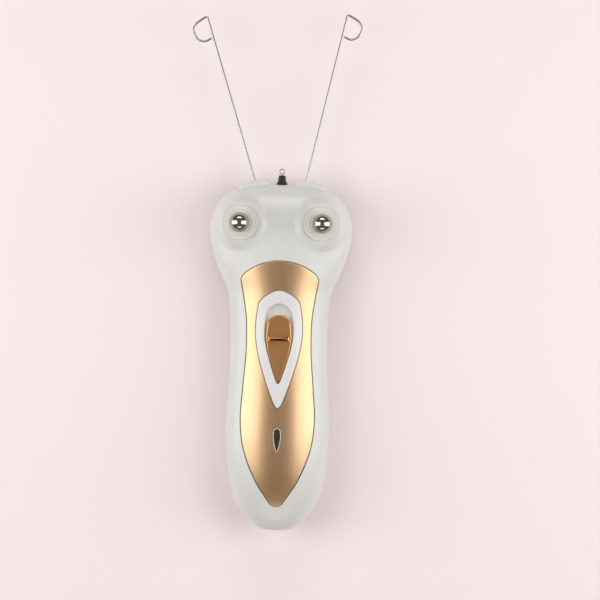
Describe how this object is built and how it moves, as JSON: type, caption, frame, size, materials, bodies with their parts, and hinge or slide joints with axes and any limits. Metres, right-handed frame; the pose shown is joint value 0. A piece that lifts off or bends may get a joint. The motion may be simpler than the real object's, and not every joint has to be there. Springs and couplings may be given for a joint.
{
  "type": "epilator",
  "caption": "Handheld cotton-thread epilator with a slim handle, wide head, slide switch, two thread clamps and two wire arms.",
  "frame": {"origin": "on the flat of the back, on its centre line, 82 mm from the bottom end, where the device rests on the table", "axes": "+Z out of the front face, +Y from the charging end toward the wire arms, +X to the right seen from the front with the arms up"},
  "size_m": [0.0756, 0.2292, 0.0417],
  "materials": {
    "shell": "satin gloss pale grey white",
    "champagne_metal": "satin champagne gold",
    "white_trim": "glossy white",
    "copper_metal": "satin copper with bright bevel",
    "black_plastic": "black",
    "cream_plastic": "cream, slightly translucent",
    "smoked_lens": "dark tinted",
    "board": "green solder mask",
    "screw_steel": "plain steel",
    "battery_sleeve": "plain plastic sleeve",
    "contact_metal": "plated",
    "switch_metal": "plated sheet",
    "frame_plastic": "natural moulded",
    "magnet": "dark ferrite",
    "gear_plastic": "natural acetal",
    "arm_wire": "polished spring wire",
    "chrome_knob": "mirror chrome",
    "red_lead": "insulated lead",
    "black_lead": "insulated lead"
  },
  "bodies": {
    "housing": {"front_shell": "shell", "rear_shell": "shell", "faceplate": "champagne_metal", "switch_bezel": "white_trim", "slide_switch": "switch_metal", "indicator_lens": "smoked_lens", "indicator_rim": "cream_plastic", "indicator_led": "smoked_lens", "circuit_board": "board", "board_screws": "screw_steel", "frame_screws": "screw_steel", "top_plate_screws": "screw_steel", "shell_screws": "screw_steel", "battery": "battery_sleeve", "positive_contact": "contact_metal", "negative_contact": "contact_metal", "charging_socket": "black_plastic", "socket_pin": "contact_metal", "motor_can": "switch_metal", "motor_end_cap": "frame_plastic", "motor_magnets": "magnet", "gear_pin": "screw_steel", "gear_frame": "frame_plastic", "top_plate": "frame_plastic", "rocker_pins": "screw_steel", "guide_posts": "screw_steel", "right_slot_cover": "shell", "left_slot_cover": "shell", "hook_sleeve": "black_plastic", "thread_hook": "arm_wire", "right_collar": "cream_plastic", "left_collar": "cream_plastic", "right_spring": "screw_steel", "left_spring": "screw_steel", "positive_motor_lead": "red_lead", "negative_motor_lead": "black_lead"},
    "power_slider": {"slider_button": "copper_metal", "slider_carrier": "black_plastic", "switch_lever": "black_plastic"},
    "motor_armature": {"motor_rotor": "switch_metal", "motor_pinion": "contact_metal"},
    "crank": {"crank_gear": "gear_plastic"},
    "yoke": {"drive_yoke": "gear_plastic"},
    "left_swing_arm": {"left_rocker": "gear_plastic", "left_arm": "arm_wire"},
    "right_swing_arm": {"right_rocker": "gear_plastic", "right_arm": "arm_wire"},
    "left_clamp": {"left_knob": "chrome_knob", "left_clip": "screw_steel"},
    "right_clamp": {"right_knob": "chrome_knob", "right_clip": "screw_steel"}
  },
  "joints": [
    {"name": "power_slide", "type": "slide", "parent": "housing", "child": "power_slider", "axis": [0, 1, 0], "range_m": [0, 0.0045]},
    {"name": "left_arm_swing", "type": "hinge", "parent": "housing", "child": "left_swing_arm", "pos_m": [-0.007, 0.056, 0.0155], "axis": [0, 0, 1], "range_deg": [-8.2, 3.8]},
    {"name": "right_arm_swing", "type": "hinge", "parent": "housing", "child": "right_swing_arm", "pos_m": [0.007, 0.056, 0.0155], "axis": [0, 0, 1], "range_deg": [-8.2, 3.8]},
    {"name": "yoke_slide", "type": "slide", "parent": "housing", "child": "yoke", "axis": [1, 0, 0], "range_m": [-0.00144, 0.00067]},
    {"name": "motor_spin", "type": "hinge", "parent": "housing", "child": "motor_armature", "pos_m": [0, 0.018, 0.0155], "axis": [0, 1, 0], "continuous": true},
    {"name": "crank_spin", "type": "hinge", "parent": "housing", "child": "crank", "pos_m": [0, 0.04, 0.0155], "axis": [0, 0, 1], "continuous": true},
    {"name": "left_clamp_pull", "type": "slide", "parent": "housing", "child": "left_clamp", "axis": [-0.0872, 0, 0.9962], "range_m": [0, 0.0015], "stiffness_N_per_m": 400, "springref_m": -0.002, "deforming": ["left_spring"]},
    {"name": "right_clamp_pull", "type": "slide", "parent": "housing", "child": "right_clamp", "axis": [0.0872, 0, 0.9962], "range_m": [0, 0.0015], "stiffness_N_per_m": 400, "springref_m": -0.002, "deforming": ["right_spring"]}
  ],
  "couplings": [
    {"joint": "right_arm_swing", "follows": "left_arm_swing", "ratio": 1},
    {"joint": "yoke_slide", "follows": "left_arm_swing", "m_per_rad": 0.01},
    {"joint": "crank_spin", "follows": "motor_spin", "ratio": -0.33333}
  ]
}
